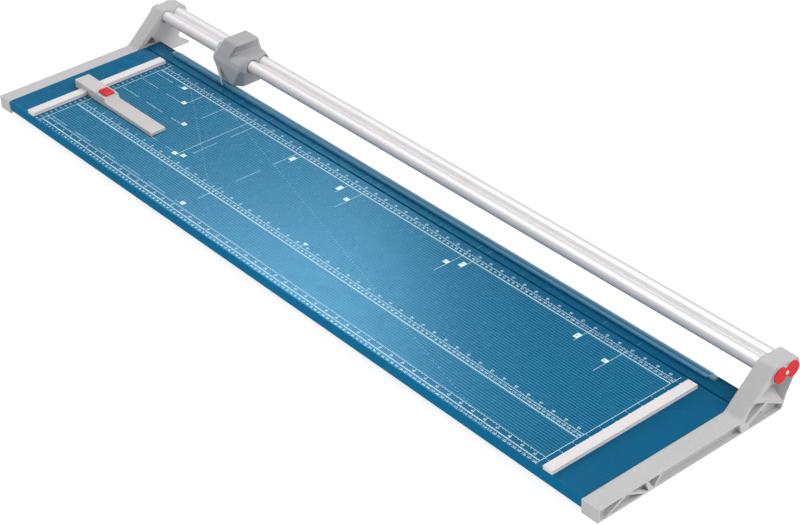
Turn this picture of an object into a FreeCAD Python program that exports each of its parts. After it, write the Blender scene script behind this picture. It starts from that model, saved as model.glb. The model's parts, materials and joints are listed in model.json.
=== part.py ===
import FreeCAD, Part
import math
import os

import Sketcher

# Rotary paper trimmer with a 1300 mm cutting length.
# +X runs along the rail towards the right-hand plate, +Y points from the user's edge to the
# cutting rail, +Z is up. The origin is on the table top that the trimmer stands on, in the
# middle of its length and depth. Lengths are in millimetres.

os.makedirs("parts", exist_ok=True)
doc = FreeCAD.newDocument("rotary_trimmer")
sheet = doc.addObject("Spreadsheet::Sheet", "sizes")

DRIVING_SIZES = {
    # frame
    "inner_length": 1456, "plate_thick": 31.5, "depth": 390, "foot_drop": 1.5, "plate_top": 25,
    "table_top": 26, "sheet_thick": 1.5, "skirt_bottom": 8, "table_rear": 97.6,
    # cutting edge
    "screw_pitch": 145, "cut_plane": 131, "lower_blade_thick": 2.8, "lower_blade_height": 14,
    # rail
    "tube_radius": 10.9, "tube_bore": 8.4, "tube_gap": 25.5, "rail_mid": 164.25, "rail_height": 69.3,
    "web_half": 2.5, "socket_depth": 16, "cap_radius": 12.6, "cap_waist": 7, "boss_radius": 13.5,
    "boss_stand": 2.5, "cap_stand": 5,
    # stops and ruler zero
    "stop_inner": 650, "stop_width": 18, "stop_height": 6.7, "stop_front": -191.5, "stop_rear": 89.8,
    # clear strip
    "strip_front": 113.5, "strip_rear": 130.5, "strip_rise": 1.6, "strip_thick": 1, "strip_half": 661.5,
    # cutting head
    "head_place": -508.5, "head_half": 47, "blade_radius": 22.5, "blade_thick": 0.8, "blade_bite": 2,
    "axle_radius": 4, "roller_radius": 4.5, "roller_offset": 8,
    # sliding backstop
    "backstop_width": 30, "backstop_place": -64, "block_left": -689, "block_right": -593.5,
    "block_height": 15.5, "arm_right": -449.5, "arm_height": 7, "button_rise": 4.5,
}
for row, (alias, number) in enumerate(DRIVING_SIZES.items(), start=1):
    sheet.set("A%d" % row, alias)
    sheet.set("B%d" % row, str(number))
    sheet.setAlias("B%d" % row, alias)
doc.recompute()


class Size:
    """A length together with the spreadsheet expression that drives it."""

    def __init__(self, number, text):
        self.number = number
        self.text = text

    def _join(self, other, sign, number):
        right = other.text if isinstance(other, Size) else repr(float(other))
        return Size(number, "(%s %s %s)" % (self.text, sign, right))

    def __add__(self, other):
        return self._join(other, "+", self.number + plain(other))

    def __sub__(self, other):
        return self._join(other, "-", self.number - plain(other))

    def __mul__(self, other):
        return self._join(other, "*", self.number * plain(other))

    def __truediv__(self, other):
        return self._join(other, "/", self.number / plain(other))

    def __radd__(self, other):
        return self + other

    def __rsub__(self, other):
        return -self + other

    def __neg__(self):
        return Size(-self.number, "(0 - %s)" % self.text)


def plain(length):
    return float(length.number if isinstance(length, Size) else length)


def size(alias):
    return Size(float(DRIVING_SIZES[alias]), "sizes.%s" % alias)


def bind(thing, prop, length):
    """Set a property from a number or from a driven size."""
    if isinstance(length, Size):
        thing.setExpression(prop, length.text)
    elif "." in prop:
        thing.setExpression(prop, repr(float(length)))
    else:
        setattr(thing, prop, length)


# ---------------------------------------------------------------- sketch and feature helpers

def vector(x, y, z):
    return FreeCAD.Vector(plain(x), plain(y), plain(z))


def origin_plane(body, role):
    return next(part for part in body.Origin.OriginFeatures if part.Role == role)


def new_body(label):
    body = doc.addObject("PartDesign::Body", label)
    body.Label = label
    return body


def new_sketch(body, role, shift=0):
    sketch = body.newObject("Sketcher::SketchObject", "%s_sketch" % body.Name)
    sketch.AttachmentSupport = [(origin_plane(body, role), "")]
    sketch.MapMode = "FlatFace"
    bind(sketch, ".AttachmentOffset.Base.z", shift)
    return sketch


def pin_point(sketch, curve, place, x, y):
    """Fix one point of a curve at (x, y) with driven distances."""
    for kind, length in (("DistanceX", x), ("DistanceY", y)):
        index = sketch.addConstraint(Sketcher.Constraint(kind, -1, 1, curve, place, plain(length)))
        if isinstance(length, Size):
            sketch.setExpression("Constraints[%d]" % index, length.text)


def draw_outline(sketch, points):
    """A closed outline of straight sides, each corner pinned by driven distances."""
    corners = [vector(x, y, 0) for x, y in points]
    first = sketch.GeometryCount
    count = len(corners)
    for number in range(count):
        sketch.addGeometry(Part.LineSegment(corners[number], corners[(number + 1) % count]), False)
    for number in range(count):
        following = first + (number + 1) % count
        sketch.addConstraint(Sketcher.Constraint("Coincident", first + number, 2, following, 1))
    for number, (x, y) in enumerate(points):
        pin_point(sketch, first + number, 1, x, y)


def draw_circle(sketch, x, y, radius):
    circle = Part.Circle(vector(x, y, 0), FreeCAD.Vector(0, 0, 1), plain(radius))
    curve = sketch.addGeometry(circle, False)
    pin_point(sketch, curve, 3, x, y)
    index = sketch.addConstraint(Sketcher.Constraint("Radius", curve, plain(radius)))
    if isinstance(radius, Size):
        sketch.setExpression("Constraints[%d]" % index, radius.text)


def rectangle(low_x, low_y, high_x, high_y):
    return [(low_x, low_y), (high_x, low_y), (high_x, high_y), (low_x, high_y)]


def pad(body, sketch, length, backwards=False, both_ways=False):
    feature = body.newObject("PartDesign::Pad", "%s_pad" % body.Name)
    feature.Profile = sketch
    bind(feature, "Length", length)
    feature.Reversed = backwards
    feature.Midplane = both_ways
    doc.recompute()
    return feature


def pocket(body, sketch, length, backwards=False, both_ways=False):
    """Cut a sketch out of its body, and make sure that it did remove material."""
    before = body.Shape.Volume
    feature = body.newObject("PartDesign::Pocket", "%s_pocket" % body.Name)
    feature.Profile = sketch
    bind(feature, "Length", length)
    feature.Reversed = backwards
    feature.Midplane = both_ways
    doc.recompute()
    if body.Shape.Volume > before - 0.01:
        raise RuntimeError("a pocket in %s cuts nothing" % body.Label)
    return feature


def dress_edges(body, kind, prop, amount, wanted):
    """Fillet or chamfer the edges of a body that pass a test."""
    base = body.Tip
    names = ["Edge%d" % number for number, edge in enumerate(base.Shape.Edges, start=1)
             if wanted(edge)]
    feature = body.newObject("PartDesign::%s" % kind, "%s_%s" % (body.Name, kind.lower()))
    feature.Base = (base, names)
    bind(feature, prop, amount)
    doc.recompute()
    if "Invalid" in feature.State or body.Shape.isNull():
        raise RuntimeError("a %s of %s fails in %s" % (kind, amount, body.Label))


def round_edges(body, radius, wanted):
    """Fillet the straight edges whose middle point and direction pass a test."""
    def straight_and_wanted(edge):
        if edge.Curve.TypeId != "Part::GeomLine":
            return False
        middle = edge.valueAt((edge.FirstParameter + edge.LastParameter) / 2)
        return wanted(middle, edge.tangentAt(edge.FirstParameter))
    dress_edges(body, "Fillet", "Radius", radius, straight_and_wanted)


def in_end_face(distance):
    """A test for the edges that lie in the face at a distance from X = 0."""
    def test(edge):
        return min(abs(edge.BoundBox.XMin), abs(edge.BoundBox.XMax)) > distance - 0.1
    return test


def row_of_pockets(body, pockets, spacing, count):
    """Repeat pockets along X."""
    feature = body.newObject("PartDesign::LinearPattern", "%s_row" % body.Name)
    feature.Originals = pockets
    feature.Direction = (origin_plane(body, "X_Axis"), [""])
    bind(feature, "Length", spacing * (count - 1))
    feature.Occurrences = count
    body.Tip = feature
    doc.recompute()
    return feature


def extrusion(label, outline, length, both_ways=True):
    """A profile in the YZ plane pushed along X."""
    body = new_body(label)
    sketch = new_sketch(body, "YZ_Plane")
    draw_outline(sketch, outline)
    pad(body, sketch, length, both_ways=both_ways)
    return body


TOWARDS = {
    "+Y": FreeCAD.Rotation(),
    "-Y": FreeCAD.Rotation(FreeCAD.Vector(0, 0, 1), 180),
    "+Z": FreeCAD.Rotation(FreeCAD.Vector(1, 0, 0), 90),
    "+X": FreeCAD.Rotation(FreeCAD.Vector(0, 0, 1), -90),
    "-X": FreeCAD.Rotation(FreeCAD.Vector(0, 0, 1), 90),
}


def turned(label, profile, place, towards="+Y"):
    """A turned part: a profile of (radius, distance along the axis) spun about its axis."""
    body = new_body(label)
    sketch = new_sketch(body, "XY_Plane")
    draw_outline(sketch, profile)
    feature = body.newObject("PartDesign::Revolution", "%s_turn" % body.Name)
    feature.Profile = sketch
    feature.ReferenceAxis = (sketch, ["V_Axis"])
    feature.Angle = 360
    body.Placement = FreeCAD.Placement(FreeCAD.Vector(), TOWARDS[towards])
    for axis, length in zip("xyz", place):
        bind(body, "Placement.Base.%s" % axis, length)
    doc.recompute()
    return body


def group(label, sample, places):
    """Identical pieces in one node: copies of a sample moved by each offset."""
    copies = []
    for offset in places:
        copy = sample.Shape.copy()
        copy.translate(vector(*offset))
        copies.append(copy)
    node = doc.addObject("Part::Feature", label)
    node.Label = label
    node.Shape = Part.Compound(copies)
    sample.Label = "%s_sample" % label
    return node


def figure_eight(body, radius, waist, start, length, cut=False, backwards=False):
    """Add or cut the rail's section: a waist between the tubes, then both round lobes."""
    shape_it = pocket if cut else pad
    low_y = size("rail_mid") - size("tube_gap") / 2
    high_y = size("rail_mid") + size("tube_gap") / 2
    height = size("rail_height")
    bar = new_sketch(body, "YZ_Plane", start)
    draw_outline(bar, rectangle(low_y, height - waist, high_y, height + waist))
    shape_it(body, bar, length, backwards=backwards)
    lobes = new_sketch(body, "YZ_Plane", start)
    draw_circle(lobes, low_y, height, radius)
    draw_circle(lobes, high_y, height, radius)
    shape_it(body, lobes, length, backwards=backwards)


# ---------------------------------------------------------------- table

FRONT = -(size("depth") / 2)
TABLE_TOP = size("table_top")
TABLE_LENGTH = size("inner_length") - 1
SHEET = size("sheet_thick")
SCREW_PITCH = DRIVING_SIZES["screw_pitch"]
SCREW_COUNT = 10
STOP_SCREW_RADIUS = 1.5
STOP_SCREW_ROWS = (-170, -50, 70)
RAIL_BOLT_RADIUS = 3
BED_SCREW_RADIUS = 1.9
BED_SCREW_HEIGHT = 13.5
BED_SCREW_ROWS = (111.6, 125.6)
FOOT_ROWS = (-165, 145)
FOOT_PEG_RADIUS = 3


def stop_screw_places():
    middle = size("stop_inner") + size("stop_width") / 2
    return (-middle, middle)


def tube_places():
    half = size("tube_gap") / 2
    return (size("rail_mid") - half, size("rail_mid") + half)


def make_table_sheet():
    front = FRONT + 1.5
    rear = size("table_rear")
    low = size("skirt_bottom")
    outline = [
        (front, low), (front, TABLE_TOP), (rear, TABLE_TOP), (rear, low + 4),
        (rear - SHEET, low + 4), (rear - SHEET, TABLE_TOP - SHEET),
        (front + SHEET, TABLE_TOP - SHEET), (front + SHEET, low + SHEET),
        (front + 10, low + SHEET), (front + 10, low),
    ]
    body = extrusion("table_sheet", outline, TABLE_LENGTH)
    top = TABLE_TOP.number
    round_edges(body, 2, lambda at, way: abs(way.x) > 0.9 and at.z > top - 0.01
                and at.y < plain(front) + 0.01)
    round_edges(body, 2, lambda at, way: abs(way.x) > 0.9 and at.z > top - 0.01
                and at.y > plain(rear) - 0.01)
    holes = new_sketch(body, "XY_Plane", TABLE_TOP)
    for x in stop_screw_places():
        for y in STOP_SCREW_ROWS:
            draw_circle(holes, x, y, STOP_SCREW_RADIUS)
    pocket(body, holes, SHEET)


def make_table_stiffener():
    """A folded channel under the sheet, which keeps the long table flat."""
    front, rear, lip = -72, -38, 8
    high = TABLE_TOP - SHEET
    low = high - 12
    outline = [
        (front - lip, high), (front - lip, high - SHEET), (front, high - SHEET), (front, low),
        (rear, low), (rear, high - SHEET), (rear + lip, high - SHEET), (rear + lip, high),
        (rear - SHEET, high), (rear - SHEET, low + SHEET), (front + SHEET, low + SHEET),
        (front + SHEET, high),
    ]
    extrusion("table_stiffener", outline, size("inner_length") - 46)


def make_blade_bed():
    front = size("table_rear") + 1.5
    rear = size("cut_plane") - size("lower_blade_thick")
    low = size("skirt_bottom")
    wall = 2.5
    outline = [
        (front, low), (front, TABLE_TOP - 1), (front + 1, TABLE_TOP), (rear, TABLE_TOP),
        (rear, low),
    ]
    body = extrusion("blade_bed", outline, TABLE_LENGTH)
    hollow = new_sketch(body, "YZ_Plane")
    draw_outline(hollow, rectangle(front + wall, low + wall, front + 9.5, TABLE_TOP - wall))
    draw_outline(hollow, rectangle(front + 15.5, low + wall, rear - 6, TABLE_TOP - wall))
    pocket(body, hollow, TABLE_LENGTH, both_ways=True)
    for side in (-1, 1):
        end_holes = new_sketch(body, "YZ_Plane", TABLE_LENGTH / 2 * side)
        for y in BED_SCREW_ROWS:
            draw_circle(end_holes, y, BED_SCREW_HEIGHT, BED_SCREW_RADIUS)
        pocket(body, end_holes, 15, backwards=side < 0)
    first = -SCREW_PITCH * (SCREW_COUNT - 1) / 2
    tapped = new_sketch(body, "XZ_Plane", -rear)
    draw_circle(tapped, first, TABLE_TOP - 8.5, 1.6)
    row_of_pockets(body, [pocket(body, tapped, 4.5, backwards=True)], size("screw_pitch"), SCREW_COUNT)


def make_lower_blade():
    """The ground steel strip that the round blade shears against, and its screws."""
    rear = size("cut_plane")
    front = rear - size("lower_blade_thick")
    low = TABLE_TOP - size("lower_blade_height")
    body = extrusion("lower_blade", rectangle(front, low, rear, TABLE_TOP), TABLE_LENGTH)
    first = -SCREW_PITCH * (SCREW_COUNT - 1) / 2
    height = TABLE_TOP - 8.5
    shank_hole = new_sketch(body, "XZ_Plane", -rear)
    draw_circle(shank_hole, first, height, 1.6)
    through = pocket(body, shank_hole, size("lower_blade_thick"), backwards=True)
    head_hole = new_sketch(body, "XZ_Plane", -rear)
    draw_circle(head_hole, first, height, 3.3)
    seat = pocket(body, head_hole, 1.8, backwards=True)
    row_of_pockets(body, [through, seat], size("screw_pitch"), SCREW_COUNT)
    screw = turned("lower_blade_screw", [
        (0, 0.9), (1, 0.9), (1, 0.15), (3, 0.15), (3.2, 0.4), (3.2, 1.8), (1.6, 1.8), (1.6, 7),
        (0, 7),
    ], (first, rear, height), "-Y")
    places = [(SCREW_PITCH * number, 0, 0) for number in range(SCREW_COUNT)]
    group("lower_blade_screws", screw, places)


# ---------------------------------------------------------------- stop bars

def make_stop_bars():
    """White ledges square to the cut, grooved along both sides for the backstop's jaws."""
    groove_low = TABLE_TOP + 1.6
    groove_high = TABLE_TOP + 3.8
    deep = 1.5
    inner = size("stop_inner")
    outer = inner + size("stop_width")
    top = TABLE_TOP + size("stop_height")
    for label, side in (("stop_bar_left", -1), ("stop_bar_right", 1)):
        body = new_body(label)
        sketch = new_sketch(body, "XZ_Plane", -size("stop_front"))
        draw_outline(sketch, [
            (inner * side, TABLE_TOP), (inner * side, groove_low),
            ((inner + deep) * side, groove_low), ((inner + deep) * side, groove_high),
            (inner * side, groove_high), (inner * side, top), (outer * side, top),
            (outer * side, groove_high), ((outer - deep) * side, groove_high),
            ((outer - deep) * side, groove_low), (outer * side, groove_low),
            (outer * side, TABLE_TOP),
        ])
        pad(body, sketch, size("stop_rear") - size("stop_front"), backwards=True)
        round_edges(body, 0.6, lambda at, way: at.z > plain(top) - 0.01)
        holes = new_sketch(body, "XY_Plane", TABLE_TOP)
        for y in STOP_SCREW_ROWS:
            draw_circle(holes, (inner + size("stop_width") / 2) * side, y, STOP_SCREW_RADIUS)
        pocket(body, holes, 4, backwards=True)
    screw = turned("stop_bar_screw", [
        (0, 1), (1, 1), (1, 0), (2.4, 0), (2.8, 0.6), (2.8, 2), (STOP_SCREW_RADIUS, 2),
        (STOP_SCREW_RADIUS, 7), (0, 7),
    ], (0, 0, TABLE_TOP - SHEET - 2), "+Z")
    places = [(x, y, 0) for x in stop_screw_places() for y in STOP_SCREW_ROWS]
    group("stop_bar_screws", screw, places)


# ---------------------------------------------------------------- end plates

def plate_outline():
    bottom = size("foot_drop")
    top = size("plate_top")
    rear = size("depth") / 2
    return [
        (FRONT, bottom), (FRONT, top), (79, top), (145, 84.5), (190.5, 81.6), (rear, 75),
        (rear, 64), (173, 26), (166, bottom),
    ]


# Shallow panels of the outer face as corner lists: what is left between them are the plate's ribs.
PANELS = (
    ((-192, 4.5), (-181, 4.5), (-150, 21.5), (-192, 21.5)),
    ((-176, 4.5), (-110, 4.5), (-141, 20.5)),
    ((-135, 21.5), (-101, 4.8), (-106, 21.5)),
    ((-102.5, 21.5), (-91, 5.5), (-79.5, 21.5)),
    ((-87, 4.5), (81, 4.5), (76, 21.5), (-75.5, 21.5)),
    ((90, 16), (116, 27.5), (128, 33), (103, 43.5), (97, 36), (86.5, 18.5)),
    ((98, 4.5), (161.5, 4.5), (164, 12), (133.5, 29), (113, 19.5), (96, 10.5)),
)
PANEL_DEPTH = 8
SCREW_WELL = ((107.5, 9.5), (130.5, 9.5), (130.5, 15.5), (119.5, 22), (107.5, 18.5))
# The hollow under the rail's seat: its mouth in the outer face and its floor.
HOLLOW_MOUTH = ((112.5, 46.2), (165.5, 16.5), (184.5, 51), (177, 55.4), (151.5, 55.4), (139, 60))
HOLLOW_FLOOR = ((160, 34), (167.5, 29.5), (176.5, 46.5), (174, 50), (165, 50), (160, 44))
HOLLOW_DEPTH = 20
INNER_WELL = ((92, 27), (121, 27), (119.5, 33), (113.8, 42.5))
CORES = ((-150, -60), (-50, 20), (28, 76))
TOE = ((150, 1.5), (194, 1.5), (194, 4.5), (172, 22), (150, 22))


def make_end_plate(label, side):
    """A die-cast side plate: a low bar, a riser that holds the rail, and ribs outside."""
    thick = size("plate_thick")
    web = 6
    body = new_body(label)
    backwards = side < 0
    outline = new_sketch(body, "YZ_Plane")
    draw_outline(outline, plate_outline())
    pad(body, outline, thick, backwards=backwards)
    rounds = ((12, (79, 25)), (12, (145, 84.5)), (4, (190.5, 81.6)), (4, (195, 75)), (4, (195, 64)),
              (6, (166, 1.5)))
    for radius, (y, z) in rounds:
        round_edges(body, radius, lambda at, way: abs(way.x) > 0.9 and abs(at.y - y) < 0.6
                    and abs(at.z - z) < 0.6)
    outer = thick.number
    round_edges(body, 1.4, lambda at, way: abs(way.x) < 0.1 and abs(at.x) > outer - 0.01)
    for corners in PANELS:
        panel = new_sketch(body, "YZ_Plane", thick * side)
        draw_outline(panel, corners)
        pocket(body, panel, PANEL_DEPTH, backwards=backwards)
    well = new_sketch(body, "YZ_Plane", thick * side)
    draw_outline(well, SCREW_WELL)
    pocket(body, well, thick - web, backwards=backwards)
    mouth = new_sketch(body, "YZ_Plane", thick * side)
    draw_outline(mouth, HOLLOW_MOUTH)
    floor = new_sketch(body, "YZ_Plane", (thick - HOLLOW_DEPTH) * side)
    draw_outline(floor, HOLLOW_FLOOR)
    hollow = body.newObject("PartDesign::SubtractiveLoft", "Hollow")
    hollow.Profile = mouth
    hollow.Sections = [floor]
    hollow.Ruled = True
    doc.recompute()
    figure_eight(body, size("boss_radius"), size("cap_waist") + 2, 0, thick + size("boss_stand"),
                 backwards=backwards)
    figure_eight(body, size("cap_radius") + 0.15, size("cap_waist") + 0.15,
                 (thick + size("boss_stand")) * side, size("boss_stand") + 10, cut=True,
                 backwards=backwards)
    height = plain(size("rail_height"))
    recess_waist = plain(size("cap_waist")) + 0.15
    round_edges(body, 3.85, lambda at, way: abs(way.x) > 0.9
                and abs(abs(at.z - height) - recess_waist) < 0.05)
    figure_eight(body, size("tube_radius") + 0.05, size("web_half") + 0.05, 0,
                 size("socket_depth"), cut=True, backwards=not backwards)
    figure_eight(body, size("tube_radius") + 0.9, size("web_half") + 0.9, 0, 4, cut=True,
                 backwards=not backwards)
    inner_well = new_sketch(body, "YZ_Plane", 0)
    draw_outline(inner_well, INNER_WELL)
    pocket(body, inner_well, 12, backwards=not backwards)
    toe = new_sketch(body, "YZ_Plane", 0)
    draw_outline(toe, TOE)
    pad(body, toe, web, backwards=backwards)
    bolts = new_sketch(body, "YZ_Plane", 0)
    for y in tube_places():
        draw_circle(bolts, y, size("rail_height"), RAIL_BOLT_RADIUS + 0.2)
    pocket(body, bolts, thick, backwards=not backwards)
    ledge = new_sketch(body, "YZ_Plane", 0)
    draw_outline(ledge, rectangle(-182, 18, 90, TABLE_TOP - SHEET))
    pad(body, ledge, 14, backwards=not backwards)
    bed_holes = new_sketch(body, "YZ_Plane", 0)
    for y in BED_SCREW_ROWS:
        draw_circle(bed_holes, y, BED_SCREW_HEIGHT, BED_SCREW_RADIUS)
    pocket(body, bed_holes, thick, backwards=not backwards)
    cores = new_sketch(body, "XY_Plane", size("foot_drop"))
    for low, high in CORES:
        near, far = sorted((4 * side, 19 * side))
        draw_outline(cores, rectangle(near, low, far, high))
    pocket(body, cores, 19, backwards=True)
    foot_holes = new_sketch(body, "XY_Plane", size("foot_drop"))
    for y in FOOT_ROWS:
        draw_circle(foot_holes, thick * side / 2, y, FOOT_PEG_RADIUS)
    pocket(body, foot_holes, 2.5, backwards=True)
    bind(body, "Placement.Base.x", size("inner_length") / 2 * side)
    doc.recompute()
    return body


# ---------------------------------------------------------------- rail

def make_rail():
    """One extrusion of two round tubes joined by a web, let into both plates."""
    length = size("inner_length") + size("socket_depth") * 2
    body = new_body("guide_rail")
    start = -(length / 2)
    figure_eight(body, size("tube_radius"), size("web_half"), start, length)
    bores = new_sketch(body, "YZ_Plane", start)
    for y in tube_places():
        draw_circle(bores, y, size("rail_height"), size("tube_bore"))
    pocket(body, bores, length, backwards=True)


def make_rail_fasteners():
    """Threaded plugs in the tube ends and the bolts that draw the plates onto the rail."""
    end = size("inner_length") / 2 + size("socket_depth")
    seat = size("inner_length") / 2 + size("plate_thick") - 10
    plugs = []
    bolts = []
    for side, way, label in ((-1, "+X", "left"), (1, "-X", "right")):
        for y in tube_places():
            plugs.append(turned("rail_plug_%s" % label, [
                (RAIL_BOLT_RADIUS, 0), (size("tube_bore"), 0), (size("tube_bore"), 24),
                (RAIL_BOLT_RADIUS, 24),
            ], (end * side, y, size("rail_height")), way))
            bolts.append(turned("rail_bolt_%s" % label, [
                (0, 3), (2.4, 3), (2.4, 0), (4.8, 0), (5.2, 0.5), (5.2, 6),
                (RAIL_BOLT_RADIUS, 6), (RAIL_BOLT_RADIUS, 30), (0, 30),
            ], ((seat + 6) * side, y, size("rail_height")), way))
    for label, pieces in (("rail_plugs", plugs), ("rail_bolts", bolts)):
        node = doc.addObject("Part::Feature", label)
        node.Label = label
        node.Shape = Part.Compound([piece.Shape.copy() for piece in pieces])


def make_rail_cap(label, side):
    """The red cover over the rail's bolts."""
    body = new_body(label)
    start = size("plate_thick") + size("cap_stand") - 4.5
    backwards = side < 0
    figure_eight(body, size("cap_radius"), size("cap_waist"), start * side, 4.5,
                 backwards=backwards)
    height = plain(size("rail_height"))
    waist = plain(size("cap_waist"))
    round_edges(body, 4, lambda at, way: abs(way.x) > 0.9
                and abs(abs(at.z - height) - waist) < 0.1)
    dress_edges(body, "Fillet", "Radius", 0.8, in_end_face(plain(start) + 4.5))
    bind(body, "Placement.Base.x", size("inner_length") / 2 * side)
    doc.recompute()


def make_bed_screws():
    length = size("inner_length") / 2
    pieces = []
    for side, way in ((-1, "+X"), (1, "-X")):
        for y in BED_SCREW_ROWS:
            pieces.append(turned("bed_screw", [
                (0, 1.4), (1.4, 1.4), (1.4, 0), (2.5, 0), (2.9, 0.5), (2.9, 2.6),
                (BED_SCREW_RADIUS, 2.6), (BED_SCREW_RADIUS, 22), (0, 22),
            ], ((length + 6 + 2.6) * side, y, BED_SCREW_HEIGHT), way))
    node = doc.addObject("Part::Feature", "bed_screws")
    node.Label = "bed_screws"
    node.Shape = Part.Compound([piece.Shape.copy() for piece in pieces])


def make_feet():
    foot = turned("rubber_foot", [
        (0, 0), (8, 0), (8.6, 0.6), (8.6, size("foot_drop")), (FOOT_PEG_RADIUS, size("foot_drop")),
        (FOOT_PEG_RADIUS, size("foot_drop") + 2.5), (0, size("foot_drop") + 2.5),
    ], (0, 0, 0), "+Z")
    middle = (size("inner_length") + size("plate_thick")) / 2
    places = [(middle * side, y, 0) for side in (-1, 1) for y in FOOT_ROWS]
    group("rubber_feet", foot, places)


# ---------------------------------------------------------------- clear clamping strip

STRIP_LOW = TABLE_TOP + size("strip_rise")
STRIP_TONGUE = (120.8, 125.3)
CLIP_REACH = 11
ROLLER_HEIGHT = STRIP_LOW + size("strip_thick") + 0.3 + size("roller_radius")


def make_clamp_strip():
    """The clear strip that holds the paper beside the cut, with a narrow tongue at each end."""
    front = size("strip_front")
    rear = size("strip_rear")
    thick = size("strip_thick")
    body = extrusion("clamp_strip", [
        (front, STRIP_LOW + 0.8), (front, STRIP_LOW + 1.8), (front + 1.6, STRIP_LOW + thick),
        (rear, STRIP_LOW + thick), (rear, STRIP_LOW), (front + 1.4, STRIP_LOW),
    ], size("strip_half") * 2)
    tongues = new_sketch(body, "YZ_Plane", 0)
    low_y, high_y = STRIP_TONGUE
    draw_outline(tongues, rectangle(low_y, STRIP_LOW, high_y, STRIP_LOW + thick))
    pad(body, tongues, (size("strip_half") + 6) * 2, both_ways=True)


def make_strip_clips():
    """End clips on the bed that guide the strip's tongues up and down."""
    clips = []
    for side in (-1, 1):
        body = new_body("strip_clip")
        start = size("strip_half") + 0.5
        sketch = new_sketch(body, "YZ_Plane", start * side)
        draw_outline(sketch, rectangle(118.9, TABLE_TOP, 127.2, TABLE_TOP + 4))
        pad(body, sketch, CLIP_REACH, backwards=side < 0)
        slot = new_sketch(body, "YZ_Plane", start * side)
        draw_outline(slot, rectangle(STRIP_TONGUE[0] - 0.4, TABLE_TOP, STRIP_TONGUE[1] + 0.4,
                                     TABLE_TOP + 3))
        pocket(body, slot, 7, backwards=side > 0)
        far = plain(start) + CLIP_REACH
        round_edges(body, 1.2, lambda at, way: at.z > TABLE_TOP.number + 3.9
                    and abs(at.x) > far - 0.1)
        clips.append(body)
    node = doc.addObject("Part::Feature", "strip_clips")
    node.Label = "strip_clips"
    node.Shape = Part.Compound([clip.Shape.copy() for clip in clips])


def make_strip_springs():
    """A bowed leaf under each end of the strip."""
    leaves = []
    gap = plain(size("strip_rise"))
    thick = 0.25
    for side in (-1, 1):
        middle = side * 645
        half = 9
        low = TABLE_TOP.number
        lower = Part.Arc(FreeCAD.Vector(middle - half, 118, low),
                         FreeCAD.Vector(middle, 118, low + gap - thick),
                         FreeCAD.Vector(middle + half, 118, low)).toShape()
        upper = Part.Arc(FreeCAD.Vector(middle - half, 118, low + thick),
                         FreeCAD.Vector(middle, 118, low + gap),
                         FreeCAD.Vector(middle + half, 118, low + thick)).toShape()
        ends = [Part.makeLine(lower.Vertexes[number].Point, upper.Vertexes[number].Point)
                for number in (0, 1)]
        face = Part.Face(Part.Wire(Part.__sortEdges__([lower, upper] + ends)))
        leaves.append(face.extrude(FreeCAD.Vector(0, 4, 0)))
    node = doc.addObject("Part::Feature", "strip_leaf_springs")
    node.Label = "strip_leaf_springs"
    node.Shape = Part.Compound(leaves)


# ---------------------------------------------------------------- cutting head

HEAD = size("head_place")
CUT = size("cut_plane")
BLADE_AXIS = TABLE_TOP - size("blade_bite") + size("blade_radius")
CARRIER_FRONT = 138.2
CARRIER_REAR = 139.8
SHELL_BOTTOM = 30
SHELL_LIP = 4


def hull_solid(rings):
    """A closed solid from stacked rings of corners, each ring joined flat to the next."""
    faces = [Part.Face(Part.makePolygon(rings[0] + rings[0][:1])),
             Part.Face(Part.makePolygon(rings[-1] + rings[-1][:1]))]
    for low, high in zip(rings, rings[1:]):
        count = len(low)
        for number in range(count):
            a, b = low[number], low[(number + 1) % count]
            c, d = high[(number + 1) % count], high[number]
            for corners in ((a, b, c), (a, c, d)):
                faces.append(Part.Face(Part.makePolygon(list(corners) + [corners[0]])))
    shell = Part.makeShell(faces)
    solid = Part.makeSolid(shell)
    if solid.Volume < 0:
        solid.reverse()
    return solid.removeSplitter()


def head_ring(height, front, rear, front_half, side_front, side_half, rear_half):
    """Eight corners of the head at one height, symmetric about the blade's own plane."""
    side_rear = rear - 9
    right = [(front_half, front), (side_half, side_front), (side_half, side_rear),
             (rear_half, rear)]
    left = [(-x, y) for x, y in reversed(right)]
    return [vector(HEAD + x, y, height) for x, y in right + left]


def grip_outline(depth, foot, scoop_points):
    """The grip seen along Y: a straight left flank and a scooped right flank for the thumb."""
    scoop = Part.BSplineCurve()
    scoop.interpolate([vector(HEAD + x, depth, z) for x, z in scoop_points])
    corners = [(foot, 64), (-41.5, 64), (-20.5, 103.5), (-17.5, 106), (17.5, 106), (20.5, 103.5)]
    edges = [scoop.toShape()]
    for start, end in zip(corners, corners[1:]):
        edges.append(Part.makeLine(vector(HEAD + start[0], depth, start[1]),
                                   vector(HEAD + end[0], depth, end[1])))
    return Part.Wire(edges)


def side_profile(corners):
    """A prism across the whole head from (y, z) corners."""
    points = [vector(HEAD - 60, y, z) for y, z in corners]
    return Part.Face(Part.makePolygon(points + points[:1])).extrude(FreeCAD.Vector(120, 0, 0))


def rail_prism(radius, waist, start, end):
    low_y, high_y = [plain(y) for y in tube_places()]
    height = plain(size("rail_height"))
    length = end - start
    along = FreeCAD.Vector(1, 0, 0)
    shape = Part.makeBox(length, high_y - low_y, waist * 2,
                         FreeCAD.Vector(start, low_y, height - waist))
    for y in (low_y, high_y):
        shape = shape.fuse(Part.makeCylinder(radius, length, FreeCAD.Vector(start, y, height),
                                             along))
    return shape


SCREW_SPOTS = ((-27, 37), (27, 37), (-27, 52), (27, 52))


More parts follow.
